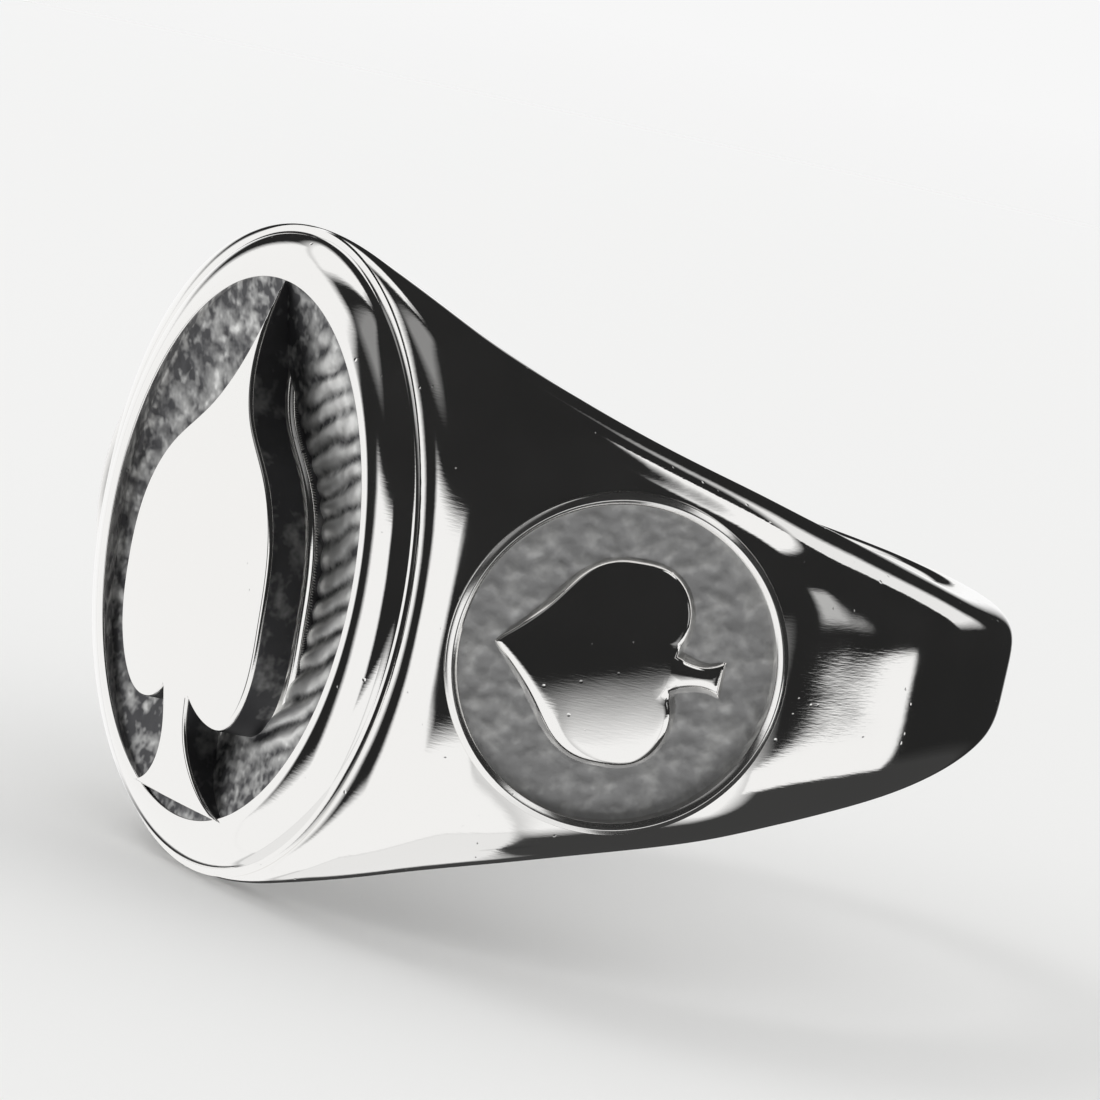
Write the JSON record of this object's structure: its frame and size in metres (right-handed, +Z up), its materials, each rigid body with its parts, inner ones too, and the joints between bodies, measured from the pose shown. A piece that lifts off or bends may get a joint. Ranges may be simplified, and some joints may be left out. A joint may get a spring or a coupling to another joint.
{
  "type": "signet ring",
  "caption": "Polished metal signet ring with a raised spade on a blackened oval face and a round spade medallion on each shoulder",
  "frame": {"origin": "centre of the finger bore, half way across the head along the finger", "axes": "+Z runs along the finger towards the tip of the face's spade; the face looks along -Y; +X is the right shoulder, seen from the front with +Z up"},
  "size_m": [0.025, 0.0245, 0.0178],
  "materials": {
    "polished_silver": "mirror-polished sterling silver with fine handling scratches",
    "blackened_silver": "hand-cut sterling silver, oxidised black and rubbed back on the high spots"
  },
  "bodies": {
    "root": {"ring_body": "polished_silver", "head_rim": "polished_silver", "head_ground": "blackened_silver", "head_spade": "polished_silver", "right_medallion_rim": "polished_silver", "right_medallion_ground": "blackened_silver", "right_medallion_spade": "polished_silver", "left_medallion_rim": "polished_silver", "left_medallion_ground": "blackened_silver", "left_medallion_spade": "polished_silver"}
  },
  "joints": []
}
